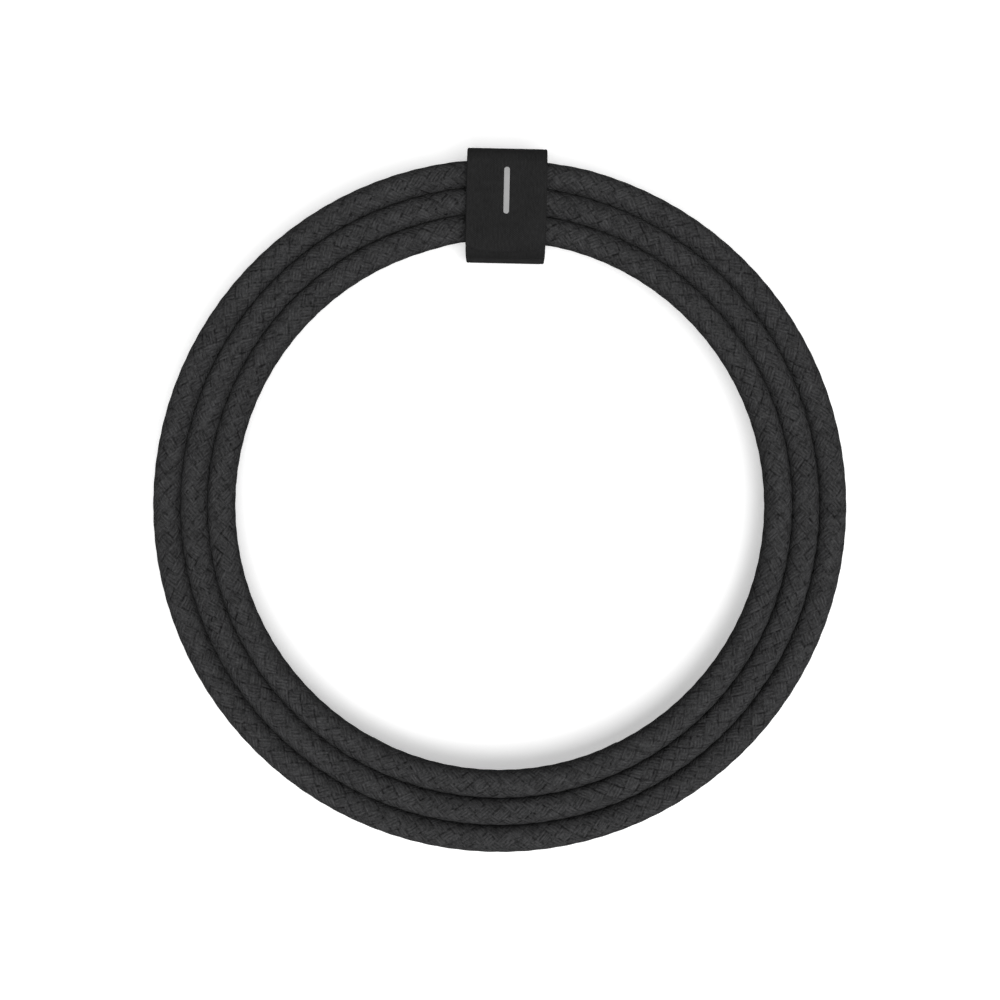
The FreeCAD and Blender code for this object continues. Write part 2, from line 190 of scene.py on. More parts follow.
def along_coil(angle, radius, height):
    """The point at an angle from the strap, as seen from the coil's centre."""
    turned = math.radians(angle) + strap_turn
    return coil_centre + Vector((-radius * math.sin(turned), radius * math.cos(turned), height))


def plug_frame(side):
    """The place of a plug's own frame: side is -1 for plug a and 1 for plug b."""
    heading = math.radians(side * PLUG_ANGLE) + strap_turn + (math.pi if side > 0 else 0)
    place = Matrix.Translation(along_coil(side * PLUG_ANGLE, PLUG_R, PLUG_Z))
    return place @ Matrix.Rotation(heading, 4, "Z")


def on_strap(across, out, height):
    """A point in the strap's own frame."""
    return coil_centre + strap_right * across + strap_out * out + Vector((0, 0, height))


# ---- the camera ----

def make_camera():
    data = bpy.data.cameras.new("camera")
    data.lens = CAMERA_LENS
    data.clip_start = 10 * MM
    camera = bpy.data.objects.new("camera", data)
    camera.location = coil_centre + Vector(CAMERA_PLACE)
    bpy.context.collection.objects.link(camera)
    bpy.context.scene.camera = camera


# ---- mesh helpers ----

def new_piece(name, vertices, faces, material, body=None, uv=None):
    """A smooth mesh piece; uv holds one pair for each corner of each face, in order."""
    mesh = bpy.data.meshes.new(name)
    mesh.from_pydata(vertices, [], faces)
    if uv is not None:
        layer = mesh.uv_layers.new(name="pattern")
        layer.data.foreach_set("uv", np.asarray(uv, np.float32).ravel())
    mesh.shade_smooth()
    mesh.set_sharp_from_angle(angle=SHARP)
    mesh.materials.append(material)
    piece = bpy.data.objects.new(name, mesh)
    bpy.context.collection.objects.link(piece)
    if body:
        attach(piece, body)
    return piece


def ring_faces(rings, around, closed=False):
    """Faces between rings of points in order; closed joins the last ring to the first as well."""
    faces = []
    for ring in range(rings if closed else rings - 1):
        after = (ring + 1) % rings
        for place in range(around):
            beside = (place + 1) % around
            faces.append((ring * around + place, ring * around + beside,
                          after * around + beside, after * around + place))
    return faces


def distances_along(line):
    """How far along a line each of its points lies."""
    return np.concatenate([[0], np.cumsum(np.linalg.norm(np.diff(line, axis=0), axis=1))])


def evenly(line, step):
    """A line again with its points an equal step apart, as near to step as goes into its length."""
    along = distances_along(line)
    places = np.linspace(0, along[-1], round(along[-1] / step) + 1)
    return np.stack([np.interp(places, along, line[:, axis]) for axis in range(line.shape[1])], 1)


def rounded_bar(width, height, corner_r, around=64):
    """Points round a bar's section, anticlockwise from +Y: a rectangle with round corners."""
    points = []
    for step in range(around):
        angle = 2 * math.pi * (step + 0.5) / around
        side = math.copysign(width / 2 - corner_r, math.cos(angle))
        level = math.copysign(height / 2 - corner_r, math.sin(angle))
        points.append((side + corner_r * math.cos(angle), level + corner_r * math.sin(angle)))
    return points


# ---- material helpers ----

class Nodes:
    """The node tree of one material, with short calls for the nodes that it needs."""

    def __init__(self, name):
        self.material = bpy.data.materials.new(name)
        self.material.use_nodes = True
        self.tree = self.material.node_tree
        self.shader = self.tree.nodes["Principled BSDF"]

    def node(self, kind, settings=None, inputs=None):
        node = self.tree.nodes.new(kind)
        for key, value in (settings or {}).items():
            setattr(node, key, value)
        for key, value in (inputs or {}).items():
            self.put(node.inputs[key], value)
        return node

    def put(self, socket, value):
        if isinstance(value, bpy.types.NodeSocket):
            self.tree.links.new(value, socket)
        else:
            socket.default_value = value

    def maths(self, operation, *values):
        node = self.node("ShaderNodeMath", {"operation": operation})
        for socket, value in zip(node.inputs, values):
            self.put(socket, value)
        return node.outputs[0]

    def combine(self, x, y, z=0.0):
        return self.node("ShaderNodeCombineXYZ", inputs={0: x, 1: y, 2: z}).outputs[0]

    def noise(self, vector, scale, detail=2.0, roughness=0.5):
        settings = {"Vector": vector, "Scale": scale, "Detail": detail, "Roughness": roughness}
        return self.node("ShaderNodeTexNoise", inputs=settings).outputs["Fac"]

    def random(self, vector):
        """One random value for each whole place."""
        return self.node("ShaderNodeTexWhiteNoise", inputs={"Vector": vector}).outputs["Value"]

    def remap(self, value, low, high, to_low, to_high, smooth=False):
        kind = "SMOOTHSTEP" if smooth else "LINEAR"
        inputs = {0: value, 1: low, 2: high, 3: to_low, 4: to_high}
        return self.node("ShaderNodeMapRange", {"interpolation_type": kind}, inputs).outputs[0]

    def mix(self, share, first, second):
        """Two numbers, mixed."""
        inputs = {0: share, 2: first, 3: second}
        return self.node("ShaderNodeMix", {"data_type": "FLOAT"}, inputs).outputs[0]

    def colour(self, share, first, second):
        """Two colours, mixed."""
        inputs = {0: share, 6: first, 7: second}
        return self.node("ShaderNodeMix", {"data_type": "RGBA"}, inputs).outputs[2]

    def object_place(self):
        return self.node("ShaderNodeTexCoord").outputs["Object"]

    def uv(self):
        """The two parts of the piece's own pattern coordinates."""
        place = self.node("ShaderNodeUVMap", {"uv_map": "pattern"}).outputs[0]
        parts = self.node("ShaderNodeSeparateXYZ", inputs={0: place})
        return parts.outputs[0], parts.outputs[1]

    def bump(self, height, strength, distance):
        inputs = {"Height": height, "Strength": strength, "Distance": distance}
        self.put(self.shader.inputs["Normal"], self.node("ShaderNodeBump", inputs=inputs).outputs[0])

    def surface(self, **values):
        """Sets sockets of the shader by name, with _ for a space."""
        for key, value in values.items():
            self.put(self.shader.inputs[key.replace("_", " ")], value)
        return self.material


def grey(level):
    return (level, level, level, 1.0)


def shaded(colour, factor):
    return (*(min(1.0, part * factor) for part in colour), 1.0)


# ---- materials ----

def braid_material():
    """Charcoal yarns: soft patches, faint lines along each yarn, and at some crossings a dip in the bump with
    painted shade in the colour, where one bundle dives under the other.
    """
    nodes = Nodes("cable_braid")
    a, b = nodes.uv()
    share_a = nodes.maths("FRACT", a)
    share_b = nodes.maths("FRACT", b)
    whole_a = nodes.maths("FLOOR", a)
    whole_b = nodes.maths("FLOOR", b)
    halved = nodes.maths("MULTIPLY", nodes.maths("ADD", whole_a, whole_b), 0.5)
    b_on_top = nodes.maths("GREATER_THAN", nodes.maths("FRACT", halved), 0.25)
    across = nodes.mix(b_on_top, share_a, share_b)
    along = nodes.mix(b_on_top, share_b, share_a)
    across_all = nodes.mix(b_on_top, a, b)
    along_all = nodes.mix(b_on_top, b, a)

    yarn = nodes.maths("PINGPONG", nodes.maths("MULTIPLY", across, YARNS), 0.5)
    yarn_round = nodes.remap(yarn, 0.0, 0.4, 0.0, 1.0, True)
    streak_place = nodes.combine(nodes.maths("MULTIPLY", across_all, 6.0), along_all, b_on_top)
    streaks = nodes.noise(streak_place, 1.5, 3.0, 0.6)
    patches = nodes.noise(nodes.combine(a, b), 1.3, 2.0)
    fluff = nodes.noise(nodes.combine(a, b), 5.0, 5.0, 0.8)
    cell = nodes.random(nodes.combine(whole_a, whole_b))
    other = nodes.random(nodes.combine(whole_b, whole_a, 3.0))

    # Where a bundle dives under the crossing one, at some crossings only: a dip in the bump, and painted shade in
    # the colour.
    end = nodes.remap(nodes.maths("PINGPONG", along, 0.5), 0.03, 0.17, 1.0, 0.0, True)
    side = nodes.remap(nodes.maths("PINGPONG", across, 0.5), 0.0, 0.12, 1.0, 0.0, True)
    broken = nodes.remap(nodes.noise(nodes.combine(a, b, 7.0), 2.6, 2.0), 0.42, 0.62, 0.0, 1.0, True)
    notch_and_painted_shade = nodes.maths("MULTIPLY", nodes.maths("MAXIMUM", end, nodes.maths("MULTIPLY", side, 0.5)), broken)
    notch_and_painted_shade = nodes.maths("MULTIPLY", notch_and_painted_shade, nodes.remap(other, 0.0, 1.0, 0.3, 1.0))

    level = nodes.remap(streaks, 0.3, 0.7, 0.3, 0.8)
    level = nodes.maths("ADD", level, nodes.remap(patches, 0.3, 0.7, -0.1, 0.1))
    level = nodes.maths("ADD", level, nodes.remap(cell, 0.0, 1.0, -0.05, 0.05))
    level = nodes.maths("ADD", level, nodes.remap(fluff, 0.3, 0.7, -0.38, 0.38))
    level = nodes.maths("MULTIPLY", level, nodes.remap(yarn_round, 0.0, 1.0, 0.76, 1.0))
    # Painted shade at the crossings: the colour darkens to a tenth there.
    level = nodes.maths("MULTIPLY", level, nodes.remap(notch_and_painted_shade, 0.0, 1.0, 1.0, 0.1))
    colour = nodes.colour(level, grey(0.004), (0.082, 0.082, 0.084, 1.0))
    height = nodes.maths("MULTIPLY", yarn_round, 0.5)
    height = nodes.maths("ADD", height, nodes.remap(streaks, 0.3, 0.7, 0.0, 0.6))
    height = nodes.maths("ADD", height, nodes.remap(fluff, 0.3, 0.7, 0.0, 0.4))
    height = nodes.maths("SUBTRACT", height, notch_and_painted_shade)
    nodes.bump(height, 0.7, 0.08 * MM)
    return nodes.surface(Base_Color=colour, Roughness=nodes.remap(streaks, 0.3, 0.7, 0.75, 0.92),
                         Specular_IOR_Level=0.03)


def strap_material():
    """Smooth black woven tape: fine ribs across it and finer yarns along it."""
    nodes = Nodes("strap_fabric")
    across, along = nodes.uv()
    row = nodes.maths("MULTIPLY", along, 1 / (0.34 * MM))
    column = nodes.maths("MULTIPLY", across, 1 / (0.26 * MM))
    shift = nodes.maths("MULTIPLY", nodes.maths("FLOOR", column), 0.5)
    rib = nodes.maths("PINGPONG", nodes.maths("ADD", row, shift), 0.5)
    yarn = nodes.maths("PINGPONG", column, 0.5)
    weave = nodes.maths("MULTIPLY", nodes.remap(rib, 0.0, 0.3, 0.0, 1.0, True),
                        nodes.remap(yarn, 0.0, 0.3, 0.3, 1.0, True))
    place = nodes.combine(nodes.maths("MULTIPLY", across, 3000.0), nodes.maths("MULTIPLY", along, 900.0))
    slubs = nodes.noise(place, 1.0, 3.0, 0.6)
    clouds = nodes.noise(nodes.combine(across, along), 160.0, 2.0)
    level = nodes.remap(weave, 0.0, 1.0, 0.2, 0.5)
    level = nodes.maths("ADD", level, nodes.remap(slubs, 0.3, 0.7, -0.12, 0.12))
    level = nodes.maths("ADD", level, nodes.remap(clouds, 0.3, 0.7, -0.06, 0.06))
    nodes.bump(nodes.maths("ADD", weave, slubs), 0.45, 0.025 * MM)
    return nodes.surface(Base_Color=nodes.colour(level, grey(0.008), (0.046, 0.046, 0.0467, 1.0)),
                         Roughness=nodes.remap(slubs, 0.3, 0.7, 0.78, 0.92), Specular_IOR_Level=0.03)


def moulded(colour, roughness, grain=0.12 * MM, shade=0.75, depth=0.012 * MM, specular=0.5):
    """Moulded plastic or rubber: faint clouds of tone, a fine grain and uneven gloss."""
    nodes = Nodes("moulded")
    place = nodes.object_place()
    clouds = nodes.noise(place, 380.0, 3.0)
    fine = nodes.noise(place, 1 / grain, 3.0, 0.6)
    tone = nodes.maths("ADD", nodes.remap(clouds, 0.3, 0.7, 0.0, 0.7),
                       nodes.remap(fine, 0.3, 0.7, 0.0, 0.3))
    nodes.bump(fine, 0.5, depth)
    return nodes.surface(Base_Color=nodes.colour(tone, shaded(colour, shade), shaded(colour, 1.0)),
                         Roughness=nodes.remap(fine, 0.3, 0.7, roughness - 0.06, roughness + 0.08),
                         Specular_IOR_Level=specular)


def metal(colour, roughness, tarnish=0.72):
    """Plated sheet: fine scratches, dull patches and a slightly wavy gloss."""
    nodes = Nodes("metal")
    place = nodes.object_place()
    patches = nodes.noise(place, 420.0, 3.0, 0.6)
    stretched = nodes.node("ShaderNodeMapping", inputs={0: place, 3: (6.0, 1.0, 6.0)}).outputs[0]
    scratches = nodes.noise(stretched, 2600.0, 3.0, 0.7)
    nodes.bump(scratches, 0.25, 0.006 * MM)
    return nodes.surface(Base_Color=nodes.colour(nodes.remap(patches, 0.3, 0.65, 0.0, 1.0),
                                                 shaded(colour, tarnish), shaded(colour, 1.0)),
                         Metallic=1.0,
                         Roughness=nodes.remap(scratches, 0.3, 0.7, roughness - 0.05, roughness + 0.12))


def board_material():
    """Green solder mask over copper tracks, which show as paler lines."""
    nodes = Nodes("board")
    place = nodes.object_place()
    cells = nodes.node("ShaderNodeTexVoronoi", {"feature": "DISTANCE_TO_EDGE"},
                       {"Vector": place, "Scale": 1100.0})
    track = nodes.remap(cells.outputs["Distance"], 0.05, 0.09, 1.0, 0.0, True)
    nodes.bump(track, 0.5, 0.02 * MM)
    return nodes.surface(Base_Color=nodes.colour(track, (0.006, 0.05, 0.02, 1.0), (0.02, 0.14, 0.05, 1.0)),
                         Roughness=nodes.remap(nodes.noise(place, 900.0), 0.3, 0.7, 0.25, 0.4))


def make_materials():
    """One material for each slot of the record, by the slot's name."""
    return {
        "cable_braid": braid_material(),
        "strap_fabric": strap_material(),
        "board": board_material(),
        "plug_moulding": moulded((0.022, 0.022, 0.023), 0.5, grain=0.09 * MM, depth=0.02 * MM),
        "boot_rubber": moulded((0.017, 0.017, 0.0175), 0.68, grain=0.06 * MM, specular=0.35),
        "inner_jacket": moulded((0.012, 0.012, 0.012), 0.6),
        "insulator": moulded((0.008, 0.008, 0.008), 0.42),
        "inner_moulding": moulded((0.70, 0.68, 0.62), 0.45, grain=0.3 * MM, shade=0.85),
        "chip": moulded((0.011, 0.011, 0.012), 0.5, grain=0.04 * MM),
        "capacitor_ceramic": moulded((0.33, 0.21, 0.11), 0.4, grain=0.05 * MM),
        "wire_red": moulded((0.42, 0.012, 0.009), 0.32),
        "wire_black": moulded((0.008, 0.008, 0.008), 0.32),
        "wire_green": moulded((0.012, 0.17, 0.03), 0.32),
        "wire_white": moulded((0.72, 0.72, 0.70), 0.32, shade=0.9),
        "wire_blue": moulded((0.014, 0.04, 0.36), 0.32),
        "strap_pile": moulded((0.010, 0.010, 0.0105), 0.9, grain=0.05 * MM, specular=0.1),
        "strap_hooks": moulded((0.010, 0.010, 0.010), 0.45),
        "strap_print": moulded((0.44, 0.44, 0.44), 0.55, grain=0.1 * MM, shade=0.88, specular=0.3),
        "shell_steel": metal((0.62, 0.62, 0.63), 0.28),
        "can_steel": metal((0.45, 0.45, 0.45), 0.4),
        "spring_steel": metal((0.6, 0.6, 0.61), 0.2),
        "crimp_metal": metal((0.56, 0.54, 0.48), 0.32),
        "contact_plating": metal((0.85, 0.58, 0.22), 0.2, 0.85),
    }


def dress_nodes():
    """Gives every CAD node the material of its slot."""
    for subpart in frame["record"]["subparts"]:
        mesh = frame["nodes"][subpart["node"]].data
        mesh.materials.clear()
        mesh.materials.append(materials[subpart["material_slot"]])


# ---- the cord ----

def turn_points():
    """The coil's own points, from the innermost turn to the outermost."""
    outward = 1 / math.cos(math.pi / TURN_POINTS)
    step = (360 - TURN_STAGGER) / TURN_POINTS
    first = (step + TURN_STAGGER * COIL_TURNS) / 2
    points = []
    for index in range(JOIN_POINTS, COIL_TURNS * TURN_POINTS - JOIN_POINTS):
        turn = index // TURN_POINTS
        radius = COIL_MEAN_R + (turn - (COIL_TURNS - 1) / 2) * CORD_D
        points.append(along_coil(first + index * step, radius * outward, COIL_Z))
    return points


def cord_route():
    """The control points of the cord's own line, from inside one boot to inside the other."""
    plug_a = plug_frame(-1)
    plug_b = plug_frame(1)
    inside = Vector((-CORD_END, 0, 0))
    straight = Vector((-PLUG_RUN, 0, 0))
    points = [plug_a @ inside, plug_a @ straight]
    points += [along_coil(*place) for place in LEAD_A_ROUTE]
    points += turn_points()
    points += [along_coil(*place) for place in LEAD_B_ROUTE]
    points += [plug_b @ straight, plug_b @ inside]
    return points


def spline_line(points):
    """Points along one smooth NURBS spline with these control points."""
    curve = bpy.data.curves.new("route", "CURVE")
    curve.dimensions = "3D"
    spline = curve.splines.new("NURBS")
    spline.points.add(len(points) - 1)
    for place, point in zip(spline.points, points):
        place.co = (*point, 1.0)
    spline.order_u = 3
    spline.use_endpoint_u = True
    spline.resolution_u = 24
    holder = bpy.data.objects.new("route", curve)
    bpy.context.collection.objects.link(holder)
    bpy.context.view_layer.update()
    mesh = bpy.data.meshes.new_from_object(holder)
    line = np.array([vertex.co for vertex in mesh.vertices])
    bpy.data.objects.remove(holder)
    return line


def frames_along(line):
    """At each point of a line the sideways and upward directions, carried along without twist."""
    tangents = np.gradient(line, axis=0)
    tangents /= np.linalg.norm(tangents, axis=1)[:, None]
    ups = np.zeros_like(line)
    up = np.array([0.0, 0.0, 1.0])
    for index, tangent in enumerate(tangents):
        up = up - tangent * (up @ tangent)
        up /= np.linalg.norm(up)
        ups[index] = up
    return np.cross(tangents, ups), ups


def braid_relief(a, b):
    """Depth of the surface below the cord's outside at braid coordinates a and b."""
    share_a = a - np.floor(a)
    share_b = b - np.floor(b)
    b_on_top = (np.floor(a) + np.floor(b)) % 2 > 0.5
    across = np.where(b_on_top, share_b, share_a)
    along = np.where(b_on_top, share_a, share_b)
    pillow = (1 - np.abs(2 * across - 1) ** 3) * (1 - 0.9 * np.abs(2 * along - 1) ** 2)
    return BRAID_DEPTH * (1 - pillow)


def zigzag(low_ring, around):
    """The zigzag edge between a ring and the next, in order round the cord."""
    even = low_ring + low_ring % 2
    odd = low_ring + 1 - low_ring % 2
    return [(odd if half % 2 else even) * around + half // 2 for half in range(2 * around)]


def braided_cord():
    """One mesh along the cord. Its faces are diamonds whose sides run along the yarns."""
    line = evenly(spline_line(cord_route()), BUNDLE_PITCH / (2 * BRAID_STEPS))
    side, up = frames_along(line)
    around = BUNDLES * BRAID_STEPS
    rings = len(line)
    ring, column = np.meshgrid(np.arange(rings), np.arange(around), indexing="ij")
    turn = (column + (ring % 2) / 2) / around
    along = ring / (2 * BRAID_STEPS)
    depth = braid_relief(np.round((turn * BUNDLES + along) * BRAID_STEPS) / BRAID_STEPS,
                         np.round((turn * BUNDLES - along) * BRAID_STEPS) / BRAID_STEPS)
    angle = turn[..., None] * 2 * math.pi
    out = -side[:, None] * np.sin(angle) - up[:, None] * np.cos(angle)
    radius = CORD_D / 2 + BRAID_DEPTH - depth
    vertices = (line[:, None] + out * radius[..., None]).reshape(-1, 3)

    low = ring[:-2].ravel()
    start = column[:-2].ravel()
    odd = low % 2
    corner_rings = np.stack([low, low + 1, low + 2, low + 1], 1)
    corner_columns = np.stack([start, start + odd, start, start + odd - 1], 1)
    corner_turns = (corner_columns + (corner_rings % 2) / 2) / around * BUNDLES
    corner_along = corner_rings / (2 * BRAID_STEPS)
    uv = np.stack([corner_turns + corner_along, corner_turns - corner_along], 2).reshape(-1, 2)
    faces = (corner_rings * around + corner_columns % around).tolist()
    faces += [zigzag(0, around)[::-1], zigzag(rings - 2, around)]
    uv = np.concatenate([uv, np.zeros((4 * around, 2))])

    cord = new_piece("braided_cord", vertices, faces, materials["cable_braid"], "cable", uv)
    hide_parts("cable_coil", "lead_a", "lead_b")
    return cord, line


# ---- the plugs ----

def lofted(name, sections, side, slot):
    """A plug's piece through sections (x, points) in order, and from the last back to the first."""
    place = plug_frame(side)
    vertices = [place @ Vector((x, y, z)) for x, points in sections for y, z in points]
    around = len(sections[0][1])
    faces = ring_faces(len(sections), around, True)
    return new_piece(name, vertices, faces, materials[slot], "cable")


def pressed_in(points, width, depth):
    """Section points with a fine groove along both sides at mid height."""
    moved = []
    for y, z in points:
        dip = depth * math.exp(-(z / width) ** 2)
        moved.append((y - math.copysign(dip, y), z))
    return moved


def housing(side, letter):
    """The moulded grip: soft ends, a fine parting line and the real hollow inside."""
    length, width, height = HOUSING
    sections = [(HOUSING_WALL, rounded_bar(JACKET_D, JACKET_D, JACKET_D / 2 - HAIR)),
                (0.0, rounded_bar(JACKET_D, JACKET_D, JACKET_D / 2 - HAIR))]
    ends = 6
    for step in range(ends + 1):
        angle = step / ends * math.pi / 2
        inset = HOUSING_END_R * (1 - math.sin(angle))
        x = HOUSING_END_R * (1 - math.cos(angle))
        sections.append((x, rounded_bar(width - 2 * inset, height - 2 * inset, HOUSING_SIDE_R - inset)))
    sections += [(length - x, points) for x, points in reversed(sections[2:])]
    sections = [(x, pressed_in(points, *PARTING) if index > 1 else points)
                for index, (x, points) in enumerate(sections)]
    mouth = rounded_bar(SHELL[2], SHELL[3], SHELL[3] / 2 - HAIR)
    sections += [(length, mouth), (length - HOUSING_WALL, mouth)]
    cavity = rounded_bar(*CAVITY, CAVITY_R)
    sections += [(length - HOUSING_WALL, cavity), (HOUSING_WALL, cavity)]
    piece = lofted(f"plug_{letter}_housing_shell", sections, side, "plug_moulding")
    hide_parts(f"plug_{letter}_housing")
    return piece


def boot_groove(x):
    """How deep the flex grooves are at x, as a share of their full depth."""
    spaces = BOOT_GROOVES + BOOT_BACK_SPACES
    middles = [-BOOT_LENGTH * (index + 1) / spaces for index in range(BOOT_GROOVES)]
    return max(math.exp(-((x - middle) / (BOOT_GROOVE[0] / 2)) ** 4) for middle in middles)


def boot_section(x):
    """The boot's outline at x: its sides dip into each groove, and its back edge is rounded."""
    share = 1 + x / BOOT_LENGTH
    width = BOOT_BACK[0] + (BOOT_FRONT[0] - BOOT_BACK[0]) * share
    inset = max(0.0, 1 - share * BOOT_LENGTH / EDGE) ** 2 * EDGE / 2
    dip = boot_groove(x) * min(BOOT_GROOVE[1], BOOT_GROOVE_SHARE * (width - CORD_D))
    height = BOOT_FRONT[1] - 2 * inset
    outline = rounded_bar(width - 2 * inset, height, height / 2 - HAIR)
    return [(y - math.copysign(dip, y) * (2 * y / width) ** 2, z) for y, z in outline]


def boot(side, letter):
    """The strain relief: tapered, with flex grooves across it and a rounded back edge."""
    stations = [-BOOT_LENGTH * (1 - step / BOOT_STATIONS) for step in range(BOOT_STATIONS + 1)]
    sections = [(x, boot_section(x)) for x in stations]
    bore = rounded_bar(CORD_D, CORD_D, CORD_D / 2 - HAIR)
    jacket = rounded_bar(JACKET_D, JACKET_D, JACKET_D / 2 - HAIR)
    sections += [(0.0, jacket), (-CORD_END, jacket), (-CORD_END, bore), (-BOOT_LENGTH, bore)]
    piece = lofted(f"plug_{letter}_boot", sections, side, "boot_rubber")
    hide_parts(f"plug_{letter}_strain_relief")
    return piece


def shell(side, letter):
    """The drawn metal shell, with a rolled lip at its mouth."""
    x_from, x_to, width, height = SHELL

    def oval(inset):
        return rounded_bar(width - 2 * inset, height - 2 * inset, height / 2 - inset - HAIR)

    sections = [(x_from, oval(0.0)), (x_to - SHELL_WALL, oval(0.0))]
    lip = 8
    for step in range(1, lip):
        angle = step / lip * math.pi
        x = x_to - SHELL_WALL + SHELL_WALL * math.sin(angle)
        sections.append((x, oval(SHELL_WALL / 2 * (1 - math.cos(angle)))))
    sections += [(x_to - SHELL_WALL, oval(SHELL_WALL)), (x_from, oval(SHELL_WALL))]
    piece = lofted(f"plug_{letter}_rolled_shell", sections, side, "shell_steel")
    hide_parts(f"plug_{letter}_shell")
    return piece


# ---- the strap ----

def rounded_line(corners, radii):
    """Points along straight runs joined by tangent arcs, given in millimetres."""
    corners = [Vector(corner) * MM for corner in corners]
    points = [corners[0]]
    arc_steps = 24
    for index, radius in enumerate(radii, 1):
        corner = corners[index]
        back = (corners[index - 1] - corner).normalized()
        ahead = (corners[index + 1] - corner).normalized()
        half_turn = (math.pi - back.angle(ahead)) / 2
        cut = radius * MM * math.tan(half_turn)
        centre = corner + (back + ahead).normalized() * (radius * MM / math.cos(half_turn))
        first = corner + back * cut - centre
        last = corner + ahead * cut - centre
        points += [centre + first.slerp(last, step / arc_steps) * radius * MM
                   for step in range(arc_steps + 1)]
    points.append(corners[-1])
    return np.array(points)


def stations_along(length, free_end):
    """Distances along a tape, closer together near its free end."""
    places = list(np.linspace(0, length, round(length / STATION) + 1))
    if free_end:
        near = [length - EDGE * (1 - math.cos(step * math.pi / 12)) for step in range(6)]
        places = [place for place in places if place < length - EDGE] + near[::-1]
    return np.array(places)


def stations_across():
    """Distances across a tape from its middle, closer together at its edges and in its selvedge."""
    half = STRAP_WIDTH / 2
    edge = [half - EDGE * (1 - math.cos(step * math.pi / 10)) for step in range(6)]
    edge += [half - SELVEDGE[0] + offset * SELVEDGE[1] for offset in (1.5, 0.75, 0, -0.75, -1.5)]
    inner = np.linspace(0, min(edge) - EDGE, 14)
    right = np.concatenate([inner, sorted(edge)])
    return np.concatenate([-right[:0:-1], right])


def rounding(distance):
    """Half the thickness of the tape, as a share, at a distance from an edge."""
    inward = np.clip(distance / EDGE, 0, 1)
    least = EDGE_LEAST / (STRAP_SHEET / 2)
    return least + (1 - least) * np.sqrt(1 - (1 - inward) ** 2)


def corner_setback(across, corner):
    """How far behind the very end a tape's outline lies, when each of its corners is a shallow arc."""
    reach, depth = corner
    radius = (reach ** 2 + depth ** 2) / (2 * depth)
    into_corner = np.maximum(0, np.abs(across) - STRAP_WIDTH / 2 + reach)
    return radius - np.sqrt(radius ** 2 - into_corner ** 2)


def tape_grid(length, free_end, corner):
    """For each station and place across: where it is along the tape, and half its thickness there."""
    stations = stations_along(length, free_end)
    across = stations_across()
    from_edge = STRAP_WIDTH / 2 - np.abs(across)
    setback = corner_setback(across, corner) if corner else np.zeros_like(across)
    position = stations[:, None] * (1 - setback / length)
    share = np.ones_like(position) * rounding(from_edge)
    if free_end:
        share = np.minimum(share, rounding(length - stations)[:, None])
    from_edge_place, width, depth = SELVEDGE
    groove = depth * np.exp(-((from_edge - from_edge_place) / width) ** 2)
    return across, position, share * STRAP_SHEET / 2 - groove


def on_line(line, position):
    """Places along a line of the section, and the direction square to it there."""
    along = distances_along(line)

    def at(distance):
        return np.stack([np.interp(distance, along, line[:, axis]) for axis in (0, 1)], -1)

    slope = at(position + SLOPE_STEP) - at(position - SLOPE_STEP)
    slope /= np.linalg.norm(slope, axis=-1, keepdims=True)
    return at(position), np.stack([slope[..., 1], -slope[..., 0]], -1)


def tape(name, line, weave_from, weave_sense=1, free_end=False, corner=None):
    """A woven tape along a line of the strap's section; corner rounds the outline of its free end."""
    length = distances_along(line)[-1]
    across, position, half_thick = tape_grid(length, free_end, corner)
    centre, normal = on_line(line, position)
    vertices = []
    weave = []
    columns = range(len(across))
    for row in range(len(position)):
        for side, order in ((1, columns), (-1, reversed(columns))):
            for column in order:
                place = centre[row, column] + side * half_thick[row, column] * normal[row, column]
                vertices.append(on_strap(across[column], *place))
                weave.append((across[column], weave_from + weave_sense * position[row, column]))
    around = 2 * len(across)
    faces = [face[::-1] for face in ring_faces(len(position), around)]
    for start, sense in ((0, 1), ((len(position) - 1) * around, -1)):
        for column in columns[:-1]:
            cap = (start + column, start + column + 1,
                   start + around - 2 - column, start + around - 1 - column)
            faces.append(cap[::sense])
    uv = [weave[vertex] for face in faces for vertex in face]
    return new_piece(name, vertices, faces, materials["strap_fabric"], uv=uv)


def strap_tapes():
    """The strap's three lengths of one tape: round the bundle, over the top, and the pull tab."""
    band_line = rounded_line(BAND_LINE, BAND_RADII)
    flap_line = rounded_line(FLAP_LINE, FLAP_RADII)
    tab_line = rounded_line(TAB_LINE, TAB_RADII)
    flap_from = distances_along(band_line)[-1]
    tab_from = flap_from + distances_along(flap_line)[-1]

    band = tape("strap_band_tape", band_line, flap_from, -1, free_end=True)
    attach(band, "strap")
    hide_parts("strap_band")

    flap = tape("strap_flap_tape", flap_line, flap_from)
    start, end = [on_strap(0, FLAP_LINE[0][0] * MM, height * MM) for height in FLAP_FOLD]
    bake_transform(flap)
    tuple(start)
    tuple(end)
    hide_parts("strap_flap")

    tab = tape("strap_pull_tab_tape", tab_line, tab_from, free_end=True, corner=TAB_CORNER)
    start, end = [on_strap(0, out * MM, TAB_LINE[0][1] * MM) for out in TAB_FOLD]
    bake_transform(tab)
    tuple(start)
    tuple(end)
    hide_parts("strap_tip")


def thin_tube(points, radius, vertices, faces):
    """Adds a four-sided tube along a few points to lists of vertices and faces."""
    first = len(vertices)
    for index, point in enumerate(points):
        ahead = (points[min(index + 1, len(points) - 1)] - points[max(index - 1, 0)]).normalized()
        beside = ahead.orthogonal().normalized()
        above = ahead.cross(beside)
        vertices += [point + beside * radius, point + above * radius,
                     point - beside * radius, point - above * radius]
    for index in range(len(points) - 1):
        for corner in range(4):
            low = first + 4 * index + corner
            beside = first + 4 * index + (corner + 1) % 4
            faces.append((low, beside, beside + 4, low + 4))
    last = len(vertices)
    faces.append((first + 3, first + 2, first + 1, first))
    faces.append((last - 4, last - 3, last - 2, last - 1))


